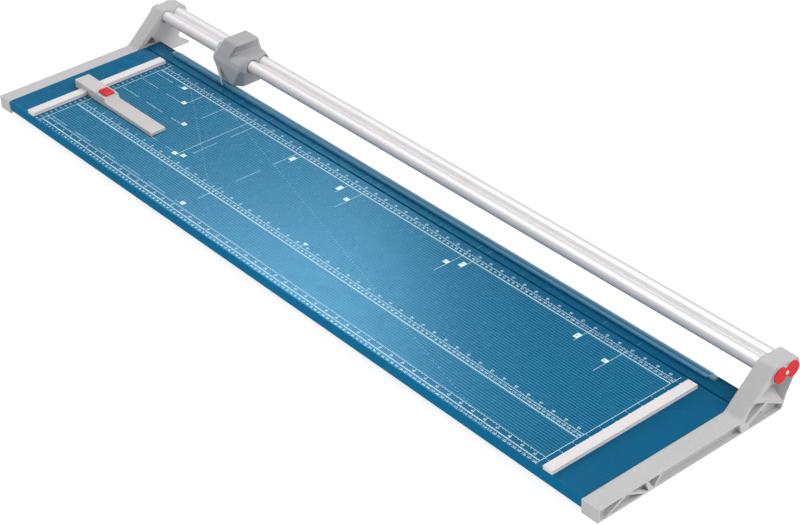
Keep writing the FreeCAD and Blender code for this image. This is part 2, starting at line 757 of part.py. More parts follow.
def make_head_shell():
    """The moulded housing: a body round the rail, a ridge and a scooped grip on top."""
    body = hull_solid([
        head_ring(SHELL_BOTTOM, 124.6, 182, 17, 136, 34, 27),
        head_ring(44, 125.2, 188, 26, 134, 42, 34),
        head_ring(65.5, 126, 193.5, 40, 132.5, 47, 40),
        head_ring(75, 129.4, 192.5, 35, 136, 46.6, 38),
        head_ring(86, 140.5, 187, 30, 146, 45, 34),
    ])
    near = grip_outline(125.4, 3.5, ((20.5, 103.5), (14.5, 97), (8.5, 88), (4.5, 78), (3.5, 64)))
    far = grip_outline(193.6, 28, ((20.5, 103.5), (18.8, 97), (18.8, 89), (21.5, 79), (28, 64)))
    grip = Part.makeLoft([near, far], True, True)
    grip = grip.common(side_profile([(125.5, 64), (140.4, 106), (150, 106.5), (187.5, 106.5),
                                     (193, 84), (193.5, 64)]))
    shell = body.fuse(grip).removeSplitter()
    half = plain(size("head_half"))
    centre = plain(HEAD)
    cavities = [
        hull_solid([[vector(HEAD + x, y, z) for x, y in
                     ((front_half, front), (31, side), (31, CARRIER_REAR), (-31, CARRIER_REAR),
                      (-31, side), (-front_half, front))]
                    for z, front, front_half, side in
                    ((20, 127, 15, 137.6), (30, 127, 15, 137.6), (44, 127.6, 23, 133),
                     (60, 128.3, 29, 131), (72, 130.6, 29, 133))]),
        hull_solid([[vector(HEAD + x, y, z) for x, y in
                     ((22, 139.7), (22, 172), (-22, 172), (-22, 139.7))] for z in (20, 64)]),
        hull_solid([[vector(HEAD + x, y, z) for x, y in corners] for z, corners in
                    ((79, ((1, 140), (1, 182), (-29, 182), (-29, 140))),
                     (102.5, ((13, 143.5), (13, 183), (-18, 183), (-18, 143.5))))]),
        rail_prism(plain(size("tube_radius")) + 0.9, plain(size("web_half")) + 0.9,
                   centre - half - 1, centre + half + 1),
        rail_prism(plain(size("tube_radius")) + 1.75, plain(size("web_half")) + 1.75,
                   centre - half + SHELL_LIP, centre + half - SHELL_LIP),
    ]
    for x, z in SCREW_SPOTS:
        cavities.append(Part.makeCylinder(1.5, 8, vector(HEAD + x, CARRIER_REAR - 0.5, z),
                                          FreeCAD.Vector(0, 1, 0)))
    for side in (-1, 1):
        cavities.append(Part.makeCylinder(1.5, 2, vector(HEAD + size("roller_offset") * side,
                                                         125.4, ROLLER_HEIGHT.number),
                                          FreeCAD.Vector(0, 1, 0)))
    for cavity in cavities:
        shell = shell.cut(cavity)
    node = doc.addObject("Part::Feature", "head_shell")
    node.Label = "head_shell"
    node.Shape = shell


def make_glide_bush(label, side):
    """A slippery liner with the rail's section, pressed into one end of the shell."""
    body = new_body(label)
    length = 14
    start = (size("head_half") - SHELL_LIP) * side
    backwards = side > 0
    figure_eight(body, size("tube_radius") + 1.7, size("web_half") + 1.7, start, length,
                 backwards=backwards)
    figure_eight(body, size("tube_radius") + 0.1, size("web_half") + 0.1, start, length,
                 cut=True, backwards=not backwards)
    bind(body, "Placement.Base.x", HEAD)
    doc.recompute()


def make_blade_carrier():
    body = new_body("blade_carrier")
    plate = new_sketch(body, "XZ_Plane", -CARRIER_REAR)
    draw_outline(plate, [(-30.5, 34), (30.5, 34), (30.5, 53), (24, 57), (-24, 57), (-30.5, 53)])
    pad(body, plate, CARRIER_REAR - CARRIER_FRONT)
    holes = new_sketch(body, "XZ_Plane", -CARRIER_REAR)
    draw_circle(holes, 0, BLADE_AXIS, size("axle_radius"))
    for x, z in SCREW_SPOTS:
        draw_circle(holes, x, z, 1.5)
    pocket(body, holes, CARRIER_REAR - CARRIER_FRONT, backwards=True)
    bind(body, "Placement.Base.x", HEAD)
    doc.recompute()
    screw = turned("carrier_screw", [
        (0, 0.8), (0.9, 0.8), (0.9, 0), (2.4, 0), (2.8, 0.5), (2.8, 1.8), (1.5, 1.8), (1.5, 9),
        (0, 9),
    ], (HEAD, CARRIER_FRONT - 1.8, 0), "+Y")
    group("carrier_screws", screw, [(x, 0, z) for x, z in SCREW_SPOTS])


def coil_spring(radius, wire, length, turns, place, towards):
    """A compression spring swept along a helix."""
    helix = Part.makeHelix(length / turns, length, radius)
    start = FreeCAD.Vector(radius, 0, 0)
    section = Part.Wire(Part.makeCircle(wire / 2, start, FreeCAD.Vector(0, 1, 0)))
    pipe = Part.BRepOffsetAPI.MakePipeShell(Part.Wire(helix.Edges))
    pipe.setFrenetMode(True)
    pipe.add(section)
    pipe.build()
    pipe.makeSolid()
    shape = pipe.shape()
    shape.Placement = FreeCAD.Placement(vector(*place), towards)
    return shape


def make_blade():
    """The round blade on its hub, the bush that it turns on, its axle and its spring."""
    axis = (HEAD, CUT, BLADE_AXIS)
    front = 0.1
    back = size("blade_thick") + front
    radius = size("blade_radius")
    turned("cutting_blade", [
        (7.5, front), (radius, front), (radius - 1.6, back), (7.5, back),
    ], axis)
    hub = turned("blade_hub", [
        (6.05, front), (7.5, front), (7.5, back), (12, back), (12, back + 1.5), (11.6, back + 1.9),
        (6.05, back + 1.9),
    ], axis)
    rivet = turned("hub_rivet", [
        (0, -0.2), (1.6, -0.2), (1.6, front), (1, front), (1, back + 1.9), (1.6, back + 1.9),
        (1.6, back + 2.2), (0, back + 2.2),
    ], axis)
    spots = [(9.9 * math.cos(turn), 0, 9.9 * math.sin(turn))
             for turn in (math.pi / 2, math.pi * 7 / 6, math.pi * 11 / 6)]
    group("hub_rivets", rivet, spots)
    for piece in (doc.getObject("cutting_blade"), hub):
        holes = new_sketch(piece, "XZ_Plane", 0)
        for x, _, z in spots:
            draw_circle(holes, x, z, 1)
        pocket(piece, holes, 10, both_ways=True)
    turned("axle_bush", [
        (4.05, -0.3), (6, -0.3), (6, 3), (8, 3), (8, 4.2), (4.05, 4.2),
    ], axis)
    turned("blade_axle", [
        (0, 1.2), (2, 1.2), (2, 0), (6, 0), (6.5, 0.5), (6.5, 2), (size("axle_radius"), 2),
        (size("axle_radius"), CARRIER_REAR - 128.6), (0, CARRIER_REAR - 128.6),
    ], (HEAD, 128.6, BLADE_AXIS))
    spring = doc.addObject("Part::Feature", "blade_spring")
    spring.Label = "blade_spring"
    spring.Shape = coil_spring(5.6, 0.6, 2.1, 2.5, (HEAD, 135.65, BLADE_AXIS), SPRING_ALONG_Y)


SPRING_ALONG_Y = FreeCAD.Rotation(FreeCAD.Vector(1, 0, 0), -90)
SPRING_UPRIGHT = FreeCAD.Rotation()


def make_press_roller(label, side):
    radius = size("roller_radius")
    turned(label, [
        (1.55, 0), (radius - 0.4, 0), (radius, 0.4), (radius, 2.4), (radius - 0.4, 2.8), (1.55, 2.8),
    ], (HEAD + size("roller_offset") * side, 127.7, ROLLER_HEIGHT))


def make_roller_pins():
    pin = turned("roller_pin", [(0, 0), (1.5, 0), (1.5, 5), (1.1, 5.4), (0, 5.4)],
                 (HEAD, 125.4, ROLLER_HEIGHT))
    offset = size("roller_offset")
    group("roller_pins", pin, [(-offset, 0, 0), (offset, 0, 0)])


def make_cut_indicator():
    """A slender pointer from the shell's lower face to the table in front of the strip."""
    root = [(-29, 125.1, 49), (-21, 125.1, 44), (-18, 125.1, 53), (-26, 125.1, 57)]
    tip = [(0.6, 113.4, 29.3), (1.8, 113.4, 29.3), (1.9, 113.7, 30.7), (0.7, 113.7, 30.7)]
    node = doc.addObject("Part::Feature", "cut_indicator")
    node.Label = "cut_indicator"
    node.Shape = hull_solid([[vector(HEAD + x, y, z) for x, y, z in ring]
                             for ring in (root, tip)])


# ---------------------------------------------------------------- sliding backstop

BACKSTOP = size("backstop_place")
BACKSTOP_LOW = TABLE_TOP + 0.4
BUTTON_X = (-621, -596)
STEM_X = (-612.6, -606.6)
SPRING_SPOTS = ((-608.5, -7), (-608.5, 7))


def make_backstop_body():
    """The block that rides the left stop bar, with its long low arm."""
    inner = -size("stop_inner")
    outer = inner - size("stop_width")
    gap = 0.4
    jaw = 1.1
    groove_low = TABLE_TOP + 1.9
    groove_high = TABLE_TOP + 3.5
    bar_top = TABLE_TOP + size("stop_height") + gap
    arm_top = TABLE_TOP + size("arm_height")
    block_top = TABLE_TOP + size("block_height")
    left = size("block_left")
    right = size("block_right")
    tip = size("arm_right")
    outline = [
        (left, BACKSTOP_LOW), (outer - gap, BACKSTOP_LOW), (outer - gap, groove_low),
        (outer + jaw, groove_low), (outer + jaw, groove_high), (outer - gap, groove_high),
        (outer - gap, bar_top), (inner + gap, bar_top), (inner + gap, groove_high),
        (inner - jaw, groove_high), (inner - jaw, groove_low), (inner + gap, groove_low),
        (inner + gap, BACKSTOP_LOW), (tip, BACKSTOP_LOW), (tip, arm_top - 2), (tip - 3, arm_top),
        (right + 3, arm_top), (right, arm_top + 4), (right - 1.5, block_top), (left, block_top),
    ]
    body = new_body("backstop_body")
    sketch = new_sketch(body, "XZ_Plane", -BACKSTOP)
    draw_outline(sketch, outline)
    pad(body, sketch, size("backstop_width"), both_ways=True)
    round_edges(body, 1, lambda at, way: abs(way.y) < 0.1 and abs(way.x) > 0.9
                and at.z > arm_top.number - 0.1)
    button = new_sketch(body, "XY_Plane", block_top)
    low_x, high_x = BUTTON_X
    draw_outline(button, rectangle(low_x, BACKSTOP - 10, high_x, BACKSTOP + 10))
    pocket(body, button, size("block_height") - 5.2)
    slot = new_sketch(body, "XY_Plane", BACKSTOP_LOW)
    draw_outline(slot, rectangle(-651.4, BACKSTOP - 4.3, -601.5, BACKSTOP + 4.3))
    pocket(body, slot, 5, backwards=True)


def make_backstop_button():
    body = new_body("backstop_button")
    low_x, high_x = BUTTON_X
    low = 36
    top = TABLE_TOP + size("block_height") + size("button_rise")
    cap = new_sketch(body, "XY_Plane", low)
    draw_outline(cap, rectangle(low_x + 0.3, BACKSTOP - 9.7, high_x - 0.3, BACKSTOP + 9.7))
    pad(body, cap, top - low)
    round_edges(body, 2.2, lambda at, way: abs(way.z) > 0.9)
    dress_edges(body, "Chamfer", "Size", 1.8,
                lambda edge: edge.BoundBox.ZMin > plain(top) - 0.1)
    stem = new_sketch(body, "XY_Plane", 29)
    draw_outline(stem, rectangle(STEM_X[0], BACKSTOP - 2.6, STEM_X[1], BACKSTOP + 2.6))
    pad(body, stem, 8)


def make_lock_shoe():
    """The sprung brake plate that grips the bar until the button is pressed."""
    body = new_body("lock_shoe")
    low = TABLE_TOP + 1
    sketch = new_sketch(body, "XY_Plane", low)
    draw_outline(sketch, rectangle(-size("stop_inner") + 0.1, BACKSTOP - 4, -602.5, BACKSTOP + 4))
    pad(body, sketch, 3.9)
    hole = new_sketch(body, "XY_Plane", low)
    draw_outline(hole, rectangle(STEM_X[0] - 1.5, BACKSTOP - 2.9, STEM_X[1] + 0.4,
                                 BACKSTOP + 2.9))
    pocket(body, hole, 3.9, backwards=True)


def make_button_springs():
    springs = [coil_spring(2.1, 0.5, 4, 4, (x, BACKSTOP + y, 31.6), SPRING_UPRIGHT)
               for x, y in SPRING_SPOTS]
    node = doc.addObject("Part::Feature", "button_springs")
    node.Label = "button_springs"
    node.Shape = Part.Compound(springs)


# ---------------------------------------------------------------- build and write

def build():
    make_table_sheet()
    make_table_stiffener()
    make_blade_bed()
    make_lower_blade()
    make_stop_bars()
    for label, side in (("left", -1), ("right", 1)):
        make_end_plate("end_plate_%s" % label, side)
        make_rail_cap("rail_cap_%s" % label, side)
        make_glide_bush("glide_bush_%s" % label, side)
        make_press_roller("press_roller_%s" % label, side)
    make_rail()
    make_rail_fasteners()
    make_bed_screws()
    make_feet()
    make_clamp_strip()
    make_strip_clips()
    make_strip_springs()
    make_head_shell()
    make_blade_carrier()
    make_blade()
    make_roller_pins()
    make_cut_indicator()
    make_backstop_body()
    make_backstop_button()
    make_lock_shoe()
    make_button_springs()


NODES = (
    "table_sheet", "table_stiffener", "blade_bed", "lower_blade", "lower_blade_screws",
    "stop_bar_left", "stop_bar_right", "stop_bar_screws", "end_plate_left", "end_plate_right",
    "guide_rail", "rail_plugs", "rail_bolts", "rail_cap_left", "rail_cap_right", "bed_screws",
    "rubber_feet", "clamp_strip", "strip_clips", "strip_leaf_springs", "head_shell",
    "glide_bush_left", "glide_bush_right", "blade_carrier", "carrier_screws", "blade_axle",
    "blade_spring", "axle_bush", "cutting_blade", "blade_hub", "hub_rivets",
    "press_roller_left", "press_roller_right", "roller_pins", "cut_indicator",
    "backstop_body", "backstop_button", "lock_shoe", "button_springs",
)


def write_nodes():
    doc.recompute()
    for thing in doc.Objects:
        if "Invalid" in thing.State or "Error" in thing.State:
            raise RuntimeError("%s failed: %s" % (thing.Name, thing.State))
    for label in NODES:
        node = doc.getObjectsByLabel(label)[0]
        if node.Shape.isNull() or not node.Shape.isValid():
            raise RuntimeError("%s has no valid shape" % label)
        node.Shape.exportStep(os.path.join("parts", label + ".step"))
        print("%-20s %8.1f mm3 in %d solids" % (label, node.Shape.Volume, len(node.Shape.Solids)))


build()
write_nodes()
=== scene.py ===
import json
import math

import bmesh
import bpy
import numpy as np
from mathutils import Matrix, Vector
from mathutils.bvhtree import BVHTree


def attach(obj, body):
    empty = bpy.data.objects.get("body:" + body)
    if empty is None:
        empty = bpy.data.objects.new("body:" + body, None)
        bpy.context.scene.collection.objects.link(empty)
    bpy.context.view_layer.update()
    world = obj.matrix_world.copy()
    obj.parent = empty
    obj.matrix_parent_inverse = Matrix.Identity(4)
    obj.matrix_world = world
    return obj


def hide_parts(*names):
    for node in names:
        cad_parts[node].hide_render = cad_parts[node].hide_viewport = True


# Looks of the rotary paper trimmer. Everything is in metres, in the CAD's own frame: +X along the
# rail, +Y from the user's edge to the cut, +Z up. MM turns the millimetres below into metres.

MM = 0.001
RAIL_MID, RAIL_HEIGHT = 164.25, 69.3     # the rail's axis, between its two tubes

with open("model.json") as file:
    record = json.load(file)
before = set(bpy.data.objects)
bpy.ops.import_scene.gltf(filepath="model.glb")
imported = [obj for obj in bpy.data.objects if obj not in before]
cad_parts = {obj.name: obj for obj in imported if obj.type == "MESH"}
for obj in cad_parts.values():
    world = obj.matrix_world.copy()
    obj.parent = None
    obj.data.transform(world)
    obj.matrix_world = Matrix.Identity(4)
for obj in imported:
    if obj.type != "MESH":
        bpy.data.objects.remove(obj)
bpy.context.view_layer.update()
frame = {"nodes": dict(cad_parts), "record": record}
nodes = frame["nodes"]


# ---------------------------------------------------------------- materials

class Graph:
    """A short way to write a node material."""

    def __init__(self, name, colour, rough, metallic=0.0):
        self.material = bpy.data.materials.new(name)
        self.material.use_nodes = True
        self.tree = self.material.node_tree
        self.shader = self.tree.nodes["Principled BSDF"]
        self.put("Base Color", (*colour, 1))
        self.put("Roughness", rough)
        self.put("Metallic", metallic)
        self.place = self.tree.nodes.new("ShaderNodeTexCoord").outputs["Object"]
        self.height = None

    def put(self, socket, value):
        self.shader.inputs[socket].default_value = value

    def join(self, source, target):
        self.tree.links.new(source, target)

    def stretched(self, scale):
        node = self.tree.nodes.new("ShaderNodeMapping")
        node.inputs["Scale"].default_value = scale
        self.join(self.place, node.inputs["Vector"])
        return node.outputs["Vector"]

    def noise(self, scale, detail=3.0, stretch=None):
        node = self.tree.nodes.new("ShaderNodeTexNoise")
        node.inputs["Scale"].default_value = scale
        node.inputs["Detail"].default_value = detail
        node.inputs["Roughness"].default_value = 0.55
        self.join(self.stretched(stretch) if stretch else self.place, node.inputs["Vector"])
        return node.outputs["Fac"]

    def ramp(self, source, low, high, start=0.3, end=0.7):
        """A range of numbers or colours picked by a factor."""
        if isinstance(low, tuple):
            node = self.tree.nodes.new("ShaderNodeValToRGB")
            first, last = node.color_ramp.elements
            first.position, last.position = start, end
            first.color, last.color = (*low, 1), (*high, 1)
            self.join(source, node.inputs["Fac"])
            return node.outputs["Color"]
        node = self.tree.nodes.new("ShaderNodeMapRange")
        for socket, value in (("From Min", start), ("From Max", end), ("To Min", low),
                              ("To Max", high)):
            node.inputs[socket].default_value = value
        self.join(source, node.inputs["Value"])
        return node.outputs["Result"]

    def blend(self, factor, first, second, mode="MIX"):
        node = self.tree.nodes.new("ShaderNodeMix")
        node.data_type = "RGBA"
        node.blend_type = mode
        for socket, value in (("Factor", factor), ("A", first), ("B", second)):
            target = next(one for one in node.inputs if one.name == socket and one.enabled)
            if isinstance(value, bpy.types.NodeSocket):
                self.join(value, target)
            else:
                target.default_value = (*value, 1) if isinstance(value, tuple) else value
        return next(one for one in node.outputs if one.enabled)

    def colour(self, source):
        self.join(source, self.shader.inputs["Base Color"])

    def roughness(self, source, low, high):
        self.join(self.ramp(source, low, high), self.shader.inputs["Roughness"])

    def bump(self, source, depth, strength=1.0):
        """Relief in metres, each layer on top of the last."""
        node = self.tree.nodes.new("ShaderNodeBump")
        node.inputs["Distance"].default_value = depth
        node.inputs["Strength"].default_value = strength
        self.join(source, node.inputs["Height"])
        if self.height:
            self.join(self.height, node.inputs["Normal"])
        self.height = node.outputs["Normal"]
        self.join(self.height, self.shader.inputs["Normal"])


def toned(colour, amount):
    return tuple(channel * amount for channel in colour)


def grained(name, colour, rough, grain=900.0, depth=0.00004, drift=0.05, coat=0.0, spec=0.5):
    """Moulded or powder coated surface: a fine grain, soft drifts of tone, uneven gloss."""
    graph = Graph(name, colour, rough)
    drifts = graph.noise(9.0, 4.0)
    specks = graph.noise(grain * 0.6, 2.0)
    base = graph.ramp(drifts, toned(colour, 1 - drift), toned(colour, 1 + drift))
    speck = graph.ramp(specks, (0.93, 0.93, 0.93), (1.0, 1.0, 1.0), 0.35, 0.65)
    graph.colour(graph.blend(1.0, base, speck, "MULTIPLY"))
    graph.roughness(graph.noise(60.0, 3.0), rough - 0.05, rough + 0.06)
    graph.bump(graph.noise(grain, 2.0), depth)
    graph.put("Coat Weight", coat)
    graph.put("Coat Roughness", 0.25)
    graph.put("Specular IOR Level", spec)
    return graph.material


def brushed(name, colour, rough, stretch, metallic=1.0, depth=0.00001, contrast=1.0):
    """Metal with fine lines along one axis."""
    graph = Graph(name, colour, rough, metallic)
    lines = graph.noise(1.0, 3.0, stretch)
    smudge = graph.noise(14.0, 3.0)
    tone = graph.ramp(lines, toned(colour, 1 - 0.07 * contrast), toned(colour, 1 + 0.05 * contrast))
    haze = graph.ramp(smudge, (0.96, 0.96, 0.97), (1.0, 1.0, 1.0))
    graph.colour(graph.blend(1.0, tone, haze, "MULTIPLY"))
    graph.roughness(lines, rough - 0.05 * contrast, rough + 0.07 * contrast)
    graph.bump(lines, depth)
    return graph.material


def table_paint():
    """Blue powder coat, whose highlights stay blue."""
    colour = (0.0, 0.092, 0.196)
    graph = Graph("table_paint", colour, 0.3)
    drift = graph.noise(3.0, 4.0)
    graph.colour(graph.ramp(drift, toned(colour, 0.93), toned(colour, 1.08)))
    graph.roughness(graph.noise(45.0, 4.0), 0.24, 0.29)
    graph.bump(graph.noise(1400.0, 1.0), 0.000002, 0.5)
    graph.put("Specular IOR Level", 0.33)
    graph.put("Specular Tint", (0.12, 0.66, 1.0, 1.0))
    return graph.material


def clear_plastic():
    """Half clear blue sheet with a few broad streaks along it."""
    graph = Graph("clear_strip", (0.04, 0.26, 0.46), 0.2)
    graph.roughness(graph.noise(1.0, 1.0, (1.0, 120.0, 0.0)), 0.12, 0.18)
    streaks = graph.noise(1.0, 0.0, (0.3, 170.0, 0.0))
    graph.colour(graph.ramp(streaks, (0.06, 0.25, 0.45), (0.22, 0.50, 0.70), 0.44, 0.60))
    graph.put("Alpha", 0.5)
    graph.put("Specular Tint", (0.45, 0.75, 1.0, 1.0))
    graph.put("IOR", 1.45)
    return graph.material


# colour, roughness, grain, grain depth, drift, coat and specular level
RED_PLASTIC = ((0.68, 0.03, 0.038), 0.34, 1000.0, 0.00001, 0.04, 0.1, 0.35)


def dotted_cap():
    """The red moulding with a pale dot between its two lobes."""
    colour, rough, grain, depth, drift, coat, spec = RED_PLASTIC
    graph = Graph("cap_moulding", colour, rough)
    apart = graph.tree.nodes.new("ShaderNodeVectorMath")
    apart.operation = "DISTANCE"
    graph.join(graph.stretched((0.0, 1.0, 1.0)), apart.inputs[0])
    apart.inputs[1].default_value = (0, RAIL_MID * MM, RAIL_HEIGHT * MM)
    tone = graph.ramp(graph.noise(9.0, 4.0), toned(colour, 1 - drift), toned(colour, 1 + drift))
    dot = graph.ramp(apart.outputs["Value"], 1.0, 0.0, 3.0 * MM, 3.3 * MM)
    graph.colour(graph.blend(dot, tone, (0.85, 0.80, 0.80)))
    graph.bump(graph.noise(grain, 2.0), depth)
    graph.put("Coat Weight", coat)
    graph.put("Specular IOR Level", spec)
    return graph.material


PAINT = table_paint()
CAP = dotted_cap()
LOOKS = {
    "table_blue": PAINT,
    "bed_blue": PAINT,
    # Steel drawn near black.
    "dark_steel": brushed("near_black_steel", (0.03, 0.032, 0.036), 0.4, (8.0, 900.0, 900.0)),
    "plate_grey": grained("plate_coat", (0.525, 0.52, 0.525), 0.5, 700.0, 0.00004, 0.03),
    "rail_aluminium": brushed("rail_satin", (0.67, 0.655, 0.66), 0.36, (0.8, 1500.0, 1500.0), 0.45,
                              0.0000002, 0.2),
    "zinc_steel": brushed("zinc_sheet", (0.52, 0.52, 0.51), 0.42, (30.0, 500.0, 500.0)),
    "screw_steel": brushed("plated_steel", (0.46, 0.46, 0.46), 0.36, (260.0, 40.0, 260.0)),
    "spring_steel": brushed("spring_wire", (0.30, 0.31, 0.33), 0.33, (300.0, 300.0, 60.0)),
    "blade_steel": brushed("blade_ground", (0.62, 0.63, 0.64), 0.22, (8.0, 900.0, 900.0)),
    "bush_brass": brushed("bush_turned", (0.60, 0.42, 0.17), 0.3, (500.0, 60.0, 500.0)),
    "white_plastic": grained("stop_white", (0.76, 0.73, 0.735), 0.42, 800.0, 0.00002, 0.02, 0.15),
    "slider_plastic": grained("slider_moulding", (0.58, 0.555, 0.55), 0.46, 900.0, 0.00003, 0.025),
    "head_plastic": grained("head_moulding", (0.40, 0.40, 0.41), 0.45, 1100.0, 0.00003, 0.03, 0.05),
    "clip_plastic": grained("clip_moulding", (0.45, 0.50, 0.53), 0.4, 900.0, 0.00002),
    "black_plastic": grained("black_moulding", (0.018, 0.018, 0.02), 0.42, 900.0, 0.00002),
    "red_plastic": grained("red_moulding", *RED_PLASTIC),
    "clear_plastic": clear_plastic(),
    "foot_rubber": grained("foot_rubber", (0.02, 0.02, 0.02), 0.75, 600.0, 0.00006),
}
OWN_LOOKS = {
    "rail_cap_left": CAP,
    "rail_cap_right": CAP,
    "strip_clips": grained("clip_tinted", (0.20, 0.37, 0.47), 0.4, 900.0, 0.00002),
}
for entry in frame["record"]["subparts"]:
    node = entry["node"]
    mesh = nodes[node].data
    mesh.materials.clear()
    mesh.materials.append(OWN_LOOKS.get(node) or LOOKS[entry["material_slot"]])


# ---------------------------------------------------------------- pieces

def piece(name, corners, faces, body, material):
    """A mesh in the row frame that rides on a body and wears the material it is given."""
    mesh = bpy.data.meshes.new(name)
    mesh.from_pydata(corners, [], faces)
    mesh.materials.append(material)
    thing = bpy.data.objects.new(name, mesh)
    bpy.context.scene.collection.objects.link(thing)
    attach(thing, body)


TABLE_TOP = 26.0
SQUEEZE = 0.86               # width of the rulers' figures against the font's own


class Ink:
    """A thin layer of print on the table, made of closed boxes and figures, in millimetres."""

    def __init__(self, rise, root=-0.02):
        self.low, self.high = TABLE_TOP + root, TABLE_TOP + rise
        self.corners, self.faces = [], []

    def shape(self, outline):
        """A closed prism on three or more corners, listed anticlockwise seen from above."""
        first, count = len(self.corners), len(outline)
        for height in (self.low, self.high):
            self.corners += [(x * MM, y * MM, height * MM) for x, y in outline]
        self.faces.append(tuple(first + number for number in reversed(range(count))))
        self.faces.append(tuple(first + count + number for number in range(count)))
        for number in range(count):
            after = (number + 1) % count
            self.faces.append((first + number, first + after, first + count + after,
                               first + count + number))

    def bar(self, x0, x1, y0, y1):
        self.shape([(x0, y0), (x1, y0), (x1, y1), (x0, y1)])

    def line(self, start, end, width):
        run = Vector((end[0] - start[0], end[1] - start[1])).normalized() * width / 2
        side = (-run.y, run.x)
        self.shape([(start[0] - side[0], start[1] - side[1]), (end[0] - side[0], end[1] - side[1]),
                    (end[0] + side[0], end[1] + side[1]), (start[0] + side[0], start[1] + side[1])])

    def text(self, words, x, y, tall, squeeze=SQUEEZE):
        """Figures centred on a point and read along +X."""
        glyphs, width = [], 0.0
        for letter in words:
            corners, faces, step = figure(letter)
            glyphs.append((corners, faces, width))
            width += step
        for corners, faces, start in glyphs:
            first = len(self.corners)
            for u, v, level in corners:
                along = (u + start - width / 2) * tall * squeeze
                across = (v - FIGURE_MIDDLE) * tall
                height = self.high if level else self.low
                self.corners.append(((x + along) * MM, (y + across) * MM, height * MM))
            self.faces += [tuple(first + corner for corner in face) for face in faces]

    def finish(self, name, body, material):
        piece(name, self.corners, self.faces, body, material)


FIGURES = {}
FIGURE_WIDTH, FIGURE_MIDDLE = 0.64, 0.36     # against a letter's nominal height


def figure(letter):
    """Corners, faces and width of one letter of the built-in font, one unit tall."""
    if letter not in FIGURES:
        curve = bpy.data.curves.new("figure", "FONT")
        curve.body = letter
        curve.resolution_u = 2
        curve.extrude = 0.5
        curve.offset = 0.022
        thing = bpy.data.objects.new("figure", curve)
        bpy.context.scene.collection.objects.link(thing)
        graph = bpy.context.evaluated_depsgraph_get()
        mesh = bpy.data.meshes.new_from_object(thing.evaluated_get(graph))
        work = bmesh.new()
        work.from_mesh(mesh)
        bmesh.ops.remove_doubles(work, verts=work.verts, dist=0.0001)
        bmesh.ops.recalc_face_normals(work, faces=work.faces)
        corners = [(vertex.co.x, vertex.co.y, vertex.co.z > 0) for vertex in work.verts]
        faces = [tuple(vertex.index for vertex in face.verts) for face in work.faces]
        work.free()
        bpy.data.objects.remove(thing)
        bpy.data.curves.remove(curve)
        bpy.data.meshes.remove(mesh)
        FIGURES[letter] = (corners, faces, FIGURE_WIDTH)
    return FIGURES[letter]


# ---------------------------------------------------------------- print on the table

STOP_FACE = -650.0           # the ruler's zero: the inner face of the left stop
CUT_LINE = 131.0
INCH = 25.4
FRAME_LEFT, FRAME_RIGHT = -634.5, 635.0
FRAME_FRONT, FRAME_REAR = -191.4, 92
RULER_ROWS = (69.5, -111.3)  # baselines of the two rulers whose figures stand behind them
INCH_LINE, INCH_FIGURES = 10.8, 16.9     # how far behind those baselines the inches stand
FRONT_ROW = -182.3           # baseline of the front ruler, whose figures stand before it
FRONT_INCH_LINE, FRONT_INCH_FIGURES = -171.8, -177.6
LINE = 0.3                   # half the width of a format line

ink = Ink(0.05)


def ruler(base, way):
    """Millimetre ticks on a baseline, with the centimetres' figures beyond them."""
    ink.bar(FRAME_LEFT, FRAME_RIGHT, base - 0.45, base + 0.45)
    first = math.ceil(FRAME_LEFT - STOP_FACE)
    for step in range(first, int(FRAME_RIGHT - STOP_FACE) + 1):
        x = STOP_FACE + step
        tall = 3.1 if step % 10 == 0 else 2.5 if step % 5 == 0 else 1.5
        low, high = sorted((base, base + tall * way))
        ink.bar(x - 0.25, x + 0.25, low, high)
        if step % 10 == 0 and x < FRAME_RIGHT - 3:
            ink.text(str(step // 10), x, base + 6.3 * way, 5.0)


def inches(line, way, figures):
    """Quarter inch ticks on a thinner line, with the inches' figures on a row of their own."""
    ink.bar(FRAME_LEFT, FRAME_RIGHT, line - 0.28, line + 0.28)
    first = math.ceil((FRAME_LEFT - STOP_FACE) * 4 / INCH)
    for quarter in range(first, int((FRAME_RIGHT - STOP_FACE) * 4 / INCH) + 1):
        x = STOP_FACE + quarter * INCH / 4
        tall = 3.4 if quarter % 4 == 0 else 2.4 if quarter % 2 == 0 else 1.7
        low, high = sorted((line, line + tall * way))
        ink.bar(x - 0.32, x + 0.32, low, high)
        if quarter % 4 == 0:
            ink.text(str(quarter // 4), x, figures, 5.2)


for row in RULER_ROWS:
    ruler(row, 1)
    inches(row + INCH_LINE, 1, row + INCH_FIGURES)
ruler(FRONT_ROW, -1)
inches(FRONT_INCH_LINE, -1, FRONT_INCH_FIGURES)

for x in (FRAME_LEFT, FRAME_RIGHT):
    ink.bar(x - 0.4, x + 0.4, FRAME_FRONT, FRAME_REAR)
for step in range(4, 33):        # depth from the cut in centimetres, beside the left stop
    y = CUT_LINE - step * 10
    ink.bar(FRAME_LEFT - 4, FRAME_LEFT, y - 0.15, y + 0.15)
    ink.text(str(step), FRAME_LEFT - 8.7, y, 4.2)
for step in range(2, 13):        # and in inches, beside the right stop
    y = CUT_LINE - step * INCH
    ink.bar(FRAME_RIGHT, FRAME_RIGHT + 4.5, y - 0.2, y + 0.2)
    ink.text(str(step), FRAME_RIGHT + 9.2, y, 4.4)

# paper formats: depth from the cut and length from the stop
A_SIZES = {"A7": (74, 105), "A6": (105, 148), "A5": (148, 210), "A4": (210, 297), "A3": (297, 420)}
LONG_MARKS = {"A2": 594, "A1": 841, "A0": 1189}
INCH_MARKS = (17, 22, 34, 44)
badges = Ink(0.06)
badge_text = Ink(0.09, 0.03)


def badge(words, x, y, wide=9.5, deep=8.0):
    """A pale patch left of a format line, with the format's name in it."""
    badges.bar(x - wide, x, y, y + deep)
    badge_text.text(words, x - wide * 0.62, y + deep / 2, 3.8, squeeze=0.9)


def dashes_across(y, start, end, dash=50.0, gap=25.0):
    while start < end - 5:
        ink.bar(start, min(start + dash, end), y - 0.25, y + 0.25)
        start += dash + gap


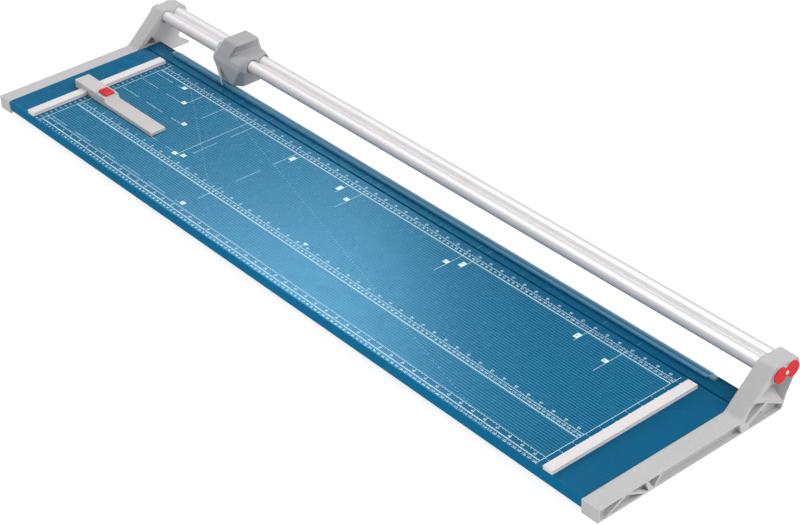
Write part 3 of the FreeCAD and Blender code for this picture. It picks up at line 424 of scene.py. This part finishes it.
def dashes_down(x, start, end, dash=50.0, gap=28.0):
    while start > end + 5:
        ink.bar(x - LINE, x + LINE, max(start - dash, end), start)
        start -= dash + gap


for words, (deep, wide) in A_SIZES.items():
    x, y = STOP_FACE + wide, CUT_LINE - deep
    dashes_across(y, FRAME_LEFT + 4, x - 22)
    dashes_down(x, RULER_ROWS[0], y + 1)
    badge(words, x - 0.6, y)
    ink.bar(x - 22, x - 11, y + 0.2, y + 0.7)
letter_x, letter_y = STOP_FACE + 11 * INCH, CUT_LINE - 8.5 * INCH
badge("11", letter_x - 0.6, letter_y)
ink.bar(letter_x - LINE, letter_x + LINE, letter_y, RULER_ROWS[0])
for words, length in LONG_MARKS.items():
    x = STOP_FACE + length
    ink.bar(x - LINE, x + LINE, 10.5, RULER_ROWS[0] + INCH_LINE)
    badge(words, x - LINE, 36.0)
for length in INCH_MARKS:
    x = STOP_FACE + length * INCH
    ink.bar(x - LINE, x + LINE, 41.5, RULER_ROWS[0] + INCH_LINE)
    badge(str(length), x - LINE, 47.5, 8.5, 12.0)

# angle lines: degrees from the cut, and where each starts and ends along itself
faint = Ink(0.04)
for degrees, distance, reach in ((15, 250.0, 1165), (30, 90.0, 480)):
    turn = math.radians(-degrees)
    run = Vector((math.cos(turn), math.sin(turn)))
    corner = Vector((STOP_FACE, CUT_LINE))
    while distance < reach:
        start, end = corner + run * distance, corner + run * (distance + 3.0)
        faint.line(start, end, 0.3)
        distance += 9.0
    ink.text(str(degrees), *(corner + run * (reach + 6.0)), 4.2, squeeze=1.0)

# the arrow at the middle of the second ruler
ink.shape([(-1.5, -95.0), (3.4, -87.4), (-6.4, -87.4)])
ink.bar(-1.8, -1.2, -100.0, -95.0)

PRINT = grained("print_ink", (0.68, 0.90, 0.97), 0.5, 900.0, 0.00001, 0.04)
ink.finish("table_print", "base", PRINT)
faint.finish("angle_lines", "base", PRINT)
badges.finish("format_badges", "base",
              grained("badge_ink", (0.72, 0.86, 0.90), 0.5, 900.0, 0.00001, 0.03))
badge_text.finish("format_names", "base", PAINT)

# a lattice of 5 mm, counted from the cut and from the left stop
lattice = Ink(0.03)
for y in range(int(FRONT_ROW) + 11, int(RULER_ROWS[0])):
    if (y - CUT_LINE) % 5 == 0:
        lattice.bar(FRAME_LEFT, FRAME_RIGHT, y - 0.24, y + 0.24)
for x in range(int(FRAME_LEFT), int(FRAME_RIGHT)):
    if (x - STOP_FACE) % 5 == 0:
        lattice.bar(x - 0.05, x + 0.05, FRONT_INCH_LINE, RULER_ROWS[0])
lattice.finish("table_lattice", "base",
               grained("lattice_ink", (0.05, 0.34, 0.50), 0.45, 900.0, 0.00001, 0.05))

# the same lengths again on the bed, behind the table
bed_marks = Ink(0.04)
for length in (*LONG_MARKS.values(), *(mark * INCH for mark in INCH_MARKS), 420, 297, 210, 148):
    x = STOP_FACE + length
    bed_marks.bar(x - LINE, x + LINE, 100.5, 112.0)
bed_marks.finish("bed_marks", "base",
                 grained("bed_ink", (0.10, 0.34, 0.46), 0.45, 900.0, 0.00001, 0.05))


# ---------------------------------------------------------------- cutting head

def softened(source, name, voxel, rounds):
    """A copy of a node whose outer edges are rounded as a moulding's are.

    Corners that face another wall, as those inside the shell do, stay where they are.
    """
    shape = bpy.data.objects.new(name, nodes[source].data.copy())
    bpy.context.scene.collection.objects.link(shape)
    remesh = shape.modifiers.new("remesh", "REMESH")
    remesh.mode = "VOXEL"
    remesh.voxel_size = voxel
    graph = bpy.context.evaluated_depsgraph_get()
    mesh = bpy.data.meshes.new_from_object(shape.evaluated_get(graph))
    bpy.data.objects.remove(shape)
    count = len(mesh.vertices)
    place = np.empty(count * 3)
    mesh.vertices.foreach_get("co", place)
    place = place.reshape(-1, 3)
    tree = BVHTree.FromPolygons([tuple(corner) for corner in place],
                                [tuple(face.vertices) for face in mesh.polygons])
    free = np.ones(count)
    for vertex in mesh.vertices:
        if tree.ray_cast(vertex.co + vertex.normal * voxel * 2, vertex.normal, 200 * MM)[0]:
            free[vertex.index] = 0
    ends = np.empty(len(mesh.edges) * 2, int)
    mesh.edges.foreach_get("vertices", ends)
    ends = ends.reshape(-1, 2)
    degree = np.bincount(ends.ravel(), minlength=count)[:, None]
    for _ in range(rounds):
        total = np.zeros((count, 3))
        np.add.at(total, ends[:, 0], place[ends[:, 1]])
        np.add.at(total, ends[:, 1], place[ends[:, 0]])
        place += (total / degree - place) * 0.5 * free[:, None]
    mesh.vertices.foreach_set("co", place.ravel())
    mesh.materials.clear()
    mesh.materials.append(LOOKS["head_plastic"])
    mesh.polygons.foreach_set("use_smooth", [True] * len(mesh.polygons))
    shape = bpy.data.objects.new(name, mesh)
    bpy.context.scene.collection.objects.link(shape)
    return shape


head = softened("head_shell", "head_housing", 0.9 * MM, 14)
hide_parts("head_shell")
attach(head, "cutting_head")


# ---------------------------------------------------------------- floor, light and camera

floor_mesh = bpy.data.meshes.new("floor")
floor_mesh.from_pydata([(-30, -30, 0), (30, -30, 0), (30, 30, 0), (-30, 30, 0)], [], [(0, 1, 2, 3)])
floor = bpy.data.objects.new("floor", floor_mesh)
bpy.context.scene.collection.objects.link(floor)
floor_look = Graph("floor_pale", (0.9, 0.9, 0.9), 0.9)
floor_look.colour(floor_look.ramp(floor_look.noise(2.0), (0.30, 0.30, 0.30), (0.32, 0.32, 0.32)))
floor_look.put("Emission Color", (1, 1, 1, 1))
floor_look.put("Emission Strength", 0.80)
floor_mesh.materials.append(floor_look.material)
floor.visible_glossy = False

world = bpy.data.worlds.new("studio")
bpy.context.scene.world = world
world.use_nodes = True
sky = world.node_tree.nodes["Background"]
sky.inputs["Color"].default_value = (1, 1, 1, 1)
air = world.node_tree


def sky_range(source, start, end, low, high):
    """A number carried from one range to another; the second one's ends may be sockets."""
    node = air.nodes.new("ShaderNodeMapRange")
    for socket, value in (("From Min", start), ("From Max", end)):
        node.inputs[socket].default_value = value
    for socket, value in (("To Min", low), ("To Max", high)):
        if isinstance(value, bpy.types.NodeSocket):
            air.links.new(value, node.inputs[socket])
        else:
            node.inputs[socket].default_value = value
    air.links.new(source, node.inputs["Value"])
    return node.outputs["Result"]


# Matt surfaces are lit evenly; glossy ones see a bright canopy above a dim wall.
split = air.nodes.new("ShaderNodeSeparateXYZ")
air.links.new(air.nodes.new("ShaderNodeTexCoord").outputs["Generated"], split.inputs["Vector"])
canopy = sky_range(split.outputs["Z"], 0.60, 0.80, 0.08, 1.5)
glossy = air.nodes.new("ShaderNodeLightPath").outputs["Is Glossy Ray"]
air.links.new(sky_range(glossy, 0.0, 1.0, 0.64, canopy), sky.inputs["Strength"])


def lamp(name, kind, place, aim, power, size, matt=True, gloss=True):
    """A lamp at a place; its size is two lengths for an area and an angle for a sun."""
    data = bpy.data.lights.new(name, kind)
    data.energy = power
    if kind == "AREA":
        data.shape = "RECTANGLE"
        data.size, data.size_y = size
    else:
        data.angle = size
    thing = bpy.data.objects.new(name, data)
    bpy.context.scene.collection.objects.link(thing)
    way = Vector(aim) - Vector(place)
    thing.matrix_world = (Matrix.Translation(place)
                          @ way.to_track_quat("-Z", "Y").to_matrix().to_4x4())
    thing.visible_diffuse, thing.visible_glossy = matt, gloss
    return thing


lamp("window", "SUN", (0.50, 0.55, 0.67), (0, 0, 0), 1.82, math.radians(40), gloss=False)
lamp("side", "SUN", (-0.90, -0.35, 0.30), (0, 0, 0), 1.3, math.radians(50), gloss=False)


def only_on(light, names):
    """Limit a lamp to the named pieces."""
    shown = bpy.data.collections.new(light.name + "_shows_on")
    for name in names:
        shown.objects.link(nodes.get(name) or bpy.data.objects[name])
    light.light_linking.receiver_collection = shown


glare = lamp("glare", "AREA", (-2.1, 0.47, 1.9), (0.2, -0.43, 0), 64, (2.2, 0.8), matt=False)
glare.data.color = (0.58, 0.88, 1.0)
skirt_key = lamp("skirt_key", "SUN", (-0.30, -0.95, 0.04), (0, 0, 0), 2.6, math.radians(20),
                 gloss=False)
rail_key = lamp("rail_key", "SUN", (0.10, -0.25, 0.96), (0, 0, 0), 2.6, math.radians(30))
head_key = lamp("head_key", "SUN", (-0.90, -0.35, 0.30), (0, 0, 0), 0.7, math.radians(30))
only_on(glare, ("table_sheet", "blade_bed", "clamp_strip", "table_print", "angle_lines",
                "format_badges", "format_names", "table_lattice", "bed_marks"))
only_on(skirt_key, ("table_sheet",))
only_on(rail_key, ("guide_rail",))
only_on(head_key, ("head_housing",))

# The camera stands off the right front corner, with a long lens.
CAMERA_PLACE = (2.20001, -1.65529, 1.80083)
FOCAL_LENGTH = 92.37
AZIMUTH, ELEVATION, ROLL = (math.radians(angle) for angle in (51.464, 33.97, -2.48))
back = Vector((math.sin(AZIMUTH) * math.cos(ELEVATION),
               -math.cos(AZIMUTH) * math.cos(ELEVATION), math.sin(ELEVATION)))
right = (-back).cross(Vector((0, 0, 1))).normalized()
up = right.cross(-back)
tilt_x = right * math.cos(ROLL) + up * math.sin(ROLL)
tilt_y = up * math.cos(ROLL) - right * math.sin(ROLL)
lens = bpy.data.cameras.new("camera")
lens.sensor_width = 36.0
lens.lens = FOCAL_LENGTH
lens.clip_end = 60.0
camera = bpy.data.objects.new("camera", lens)
bpy.context.scene.collection.objects.link(camera)
turn = Matrix((tilt_x, tilt_y, back)).transposed().to_4x4()
camera.matrix_world = Matrix.Translation(CAMERA_PLACE) @ turn
bpy.context.scene.camera = camera
bpy.context.scene.view_settings.view_transform = "Standard"
